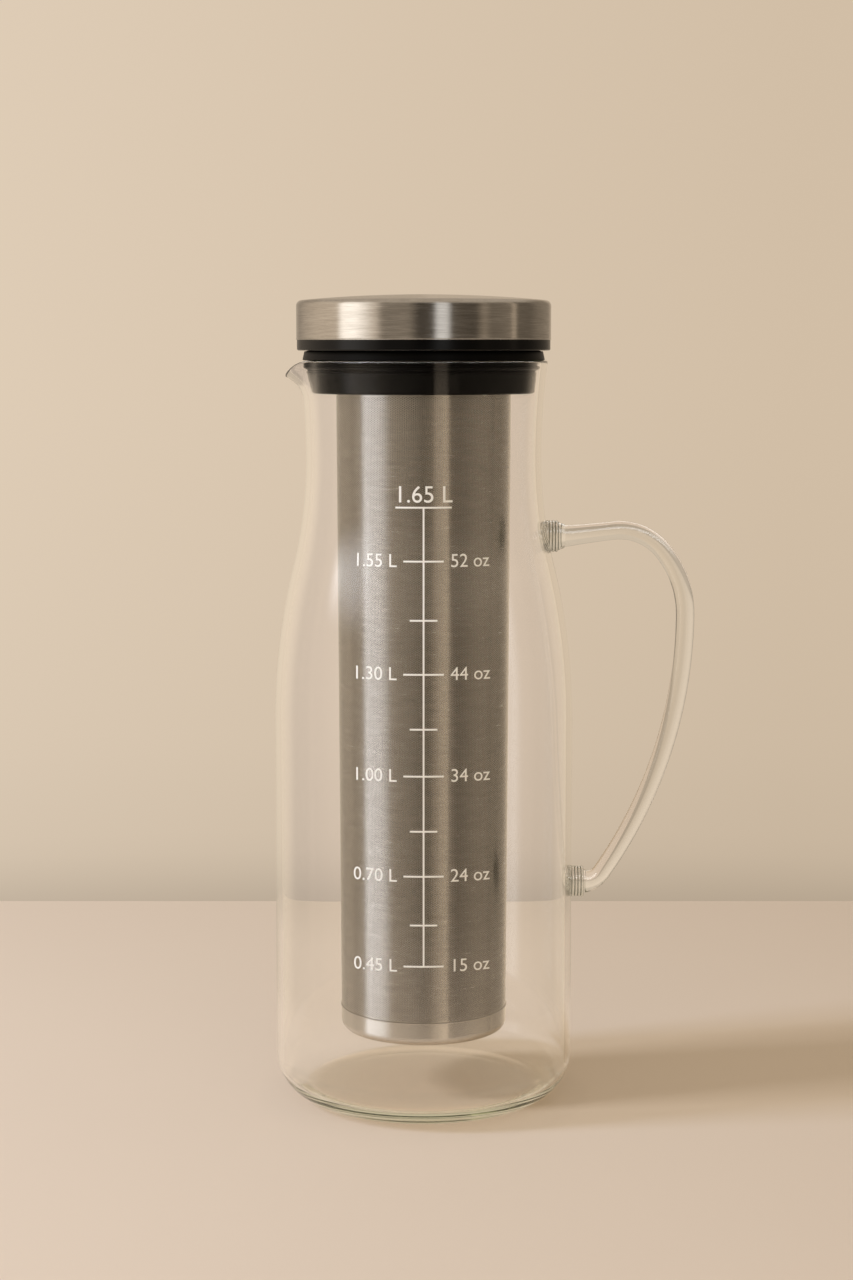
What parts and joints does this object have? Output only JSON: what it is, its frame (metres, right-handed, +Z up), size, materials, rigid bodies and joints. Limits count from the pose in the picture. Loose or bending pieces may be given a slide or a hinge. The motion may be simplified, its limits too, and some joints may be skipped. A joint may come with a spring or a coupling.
{
  "type": "cold brew pitcher",
  "caption": "Tall glass carafe with a pulled spout and a rod handle, a lift-out steel mesh filter tube hung from a sealed collar, and a brushed steel lid.",
  "frame": {"origin": "on the carafe's axis, at the underside of its base", "axes": "+Z up along the carafe's axis, +X towards the handle, -X towards the spout"},
  "size_m": [0.1505, 0.107, 0.2891],
  "materials": {
    "clear_glass": "clear borosilicate glass, fire polished",
    "brushed_cap": "stainless steel, brushed round the axis",
    "filter_steel": "finely perforated stainless steel sheet, satin",
    "black_moulding": "black polypropylene, fine satin",
    "black_silicone": "black silicone, matt"
  },
  "bodies": {
    "carafe": {"carafe": "clear_glass", "handle": "clear_glass", "upper_handle_boss": "clear_glass", "lower_handle_boss": "clear_glass"},
    "filter": {"filter_collar": "black_moulding", "neck_seal": "black_silicone", "tube_retainer": "black_moulding", "filter_tube": "filter_steel", "filter_base": "filter_steel"},
    "lid": {"lid_cap": "brushed_cap", "lid_insert": "black_moulding", "lid_seal": "black_silicone"}
  },
  "joints": [
    {"name": "filter_lift", "type": "slide", "parent": "carafe", "child": "filter", "axis": [0, 0, 1], "range_m": [0, 0.255]},
    {"name": "lid_lift", "type": "slide", "parent": "filter", "child": "lid", "axis": [0, 0, 1], "range_m": [0, 0.06]}
  ]
}
